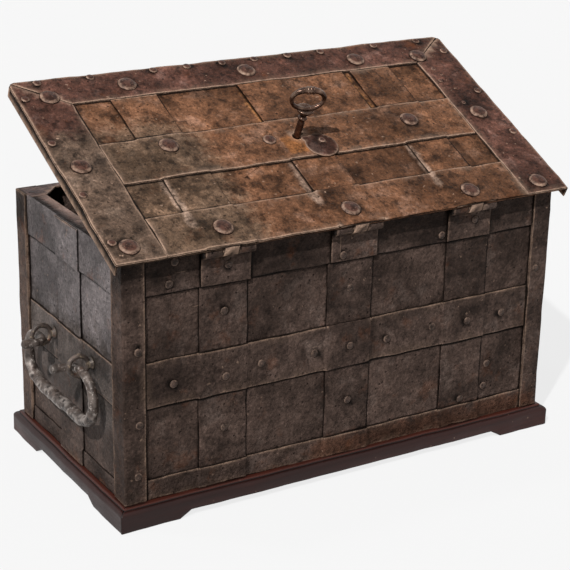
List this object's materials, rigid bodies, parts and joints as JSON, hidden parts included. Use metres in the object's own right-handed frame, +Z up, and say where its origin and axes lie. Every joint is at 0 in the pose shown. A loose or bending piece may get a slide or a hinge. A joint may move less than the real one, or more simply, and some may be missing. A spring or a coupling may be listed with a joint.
{
  "type": "armada chest",
  "caption": "Riveted iron strongbox on a moulded plinth, with a hinged lid, a key-driven bolt lock and drop handles on the ends.",
  "frame": {"origin": "centre of the footprint on the ground, under the middle of the plinth", "axes": "+Z up, +X along the long side, +Y from the hinge side to the front, where the lid opens"},
  "size_m": [0.686, 0.3273, 0.4705],
  "materials": {
    "dark_iron": "dark brown-grey patinated wrought iron with worn tan edges",
    "sheet_iron": "dark sheet iron, brownish, slightly pitted",
    "lid_iron": "red-brown rusted sheet iron with a grey-olive patina",
    "hinge_iron": "lighter worn brown iron",
    "handle_iron": "grey forged steel with light worn highlights",
    "key_steel": "dark bronze-coloured polished steel",
    "lock_steel": "filed grey steel, oiled",
    "plinth_wood": "dark red-brown stained wood with a worn redder top edge"
  },
  "bodies": {
    "chest": {"plinth_rear_board": "plinth_wood", "plinth_front_board": "plinth_wood", "plinth_left_board": "plinth_wood", "plinth_right_board": "plinth_wood", "wall_rear": "sheet_iron", "wall_front": "sheet_iron", "wall_left": "sheet_iron", "wall_right": "sheet_iron", "floor_sheet": "sheet_iron", "rim_rear": "sheet_iron", "rim_front": "sheet_iron", "rim_left": "sheet_iron", "rim_right": "sheet_iron", "corner_iron_rear_left": "dark_iron", "corner_iron_rear_right": "dark_iron", "corner_iron_front_left": "dark_iron", "corner_iron_front_right": "dark_iron", "rear_straps": "dark_iron", "front_straps": "dark_iron", "rear_bands": "dark_iron", "front_bands": "dark_iron", "left_bands": "dark_iron", "right_bands": "dark_iron", "hinge_leaves": "hinge_iron", "hinge_pins": "hinge_iron", "left_handle_eyes": "handle_iron", "right_handle_eyes": "handle_iron", "wall_rivets": "sheet_iron"},
    "lid": {"lid_sheet": "lid_iron", "lid_front_border": "lid_iron", "lid_left_border": "lid_iron", "lid_right_border": "lid_iron", "lid_rear_band": "lid_iron", "lid_middle_band": "lid_iron", "lid_strap_left": "lid_iron", "lid_strap_centre": "lid_iron", "lid_strap_right": "lid_iron", "lid_dome_rivets": "lid_iron", "lid_edge_rivets": "lid_iron", "lock_base_plate": "lock_steel", "bolt_guides": "lock_steel", "hub_bridge": "lock_steel", "bolt_springs": "lock_steel", "keyhole_cover_rivet": "lid_iron"},
    "key": {"key": "key_steel"},
    "keyhole_cover": {"keyhole_cover": "lid_iron"},
    "hub": {"lock_hub": "lock_steel"},
    "left_drawbar": {"left_drawbar": "lock_steel"},
    "right_drawbar": {"right_drawbar": "lock_steel"},
    "front_centre_bolt": {"front_centre_bolt": "lock_steel"},
    "front_left_bolt": {"front_left_bolt": "lock_steel"},
    "front_right_bolt": {"front_right_bolt": "lock_steel"},
    "left_lever": {"left_lever": "lock_steel"},
    "right_lever": {"right_lever": "lock_steel"},
    "left_handle": {"left_handle": "handle_iron"},
    "right_handle": {"right_handle": "handle_iron"}
  },
  "joints": [
    {"name": "lid_hinge", "type": "hinge", "parent": "chest", "child": "lid", "pos_m": [0, -0.156, 0.3215], "axis": [1, 0, 0], "range_deg": [-24.9, 75]},
    {"name": "key_turn", "type": "hinge", "parent": "lid", "child": "key", "pos_m": [0, -0.01736, 0.39335], "axis": [0, -0.421, 0.907], "range_deg": [0, 45.05]},
    {"name": "hub_turn", "type": "hinge", "parent": "lid", "child": "hub", "pos_m": [0, -0.01736, 0.39335], "axis": [0, -0.421, 0.907], "range_deg": [0, 45.05]},
    {"name": "left_drawbar_slide", "type": "slide", "parent": "lid", "child": "left_drawbar", "axis": [-1, 0, 0], "range_m": [0, 0.016]},
    {"name": "right_drawbar_slide", "type": "slide", "parent": "lid", "child": "right_drawbar", "axis": [1, 0, 0], "range_m": [0, 0.01602]},
    {"name": "front_centre_bolt_slide", "type": "slide", "parent": "lid", "child": "front_centre_bolt", "axis": [0, 0.907, 0.421], "range_m": [0, 0.01602]},
    {"name": "front_left_bolt_slide", "type": "slide", "parent": "lid", "child": "front_left_bolt", "axis": [0, 0.907, 0.421], "range_m": [0, 0.01602]},
    {"name": "front_right_bolt_slide", "type": "slide", "parent": "lid", "child": "front_right_bolt", "axis": [0, 0.907, 0.421], "range_m": [0, 0.01602]},
    {"name": "left_lever_turn", "type": "hinge", "parent": "lid", "child": "left_lever", "pos_m": [-0.15, 0.0276, 0.41422], "axis": [0, 0.421, -0.907], "range_deg": [0, 30.98]},
    {"name": "right_lever_turn", "type": "hinge", "parent": "lid", "child": "right_lever", "pos_m": [0.15, -0.00889, 0.39728], "axis": [0, -0.421, 0.907], "range_deg": [0, 30.98]},
    {"name": "cover_swing", "type": "hinge", "parent": "lid", "child": "keyhole_cover", "pos_m": [0.0275, -0.03097, 0.38703], "axis": [0, -0.421, 0.907], "range_deg": [0, 120]},
    {"name": "left_handle_swing", "type": "hinge", "parent": "chest", "child": "left_handle", "pos_m": [-0.315, -0.008, 0.1703], "axis": [0, 1, 0], "range_deg": [0, 110]},
    {"name": "right_handle_swing", "type": "hinge", "parent": "chest", "child": "right_handle", "pos_m": [0.315, -0.008, 0.1703], "axis": [0, -1, 0], "range_deg": [0, 110]}
  ],
  "couplings": [
    {"joint": "key_turn", "follows": "left_drawbar_slide", "rad_per_m": 49.087},
    {"joint": "hub_turn", "follows": "left_drawbar_slide", "rad_per_m": 49.087},
    {"joint": "right_drawbar_slide", "follows": "left_drawbar_slide", "ratio": 1},
    {"joint": "front_centre_bolt_slide", "follows": "left_drawbar_slide", "ratio": 1},
    {"joint": "front_left_bolt_slide", "follows": "left_drawbar_slide", "ratio": 1},
    {"joint": "front_right_bolt_slide", "follows": "left_drawbar_slide", "ratio": 1},
    {"joint": "left_lever_turn", "follows": "left_drawbar_slide", "rad_per_m": 33.742},
    {"joint": "right_lever_turn", "follows": "left_drawbar_slide", "rad_per_m": 33.742}
  ]
}
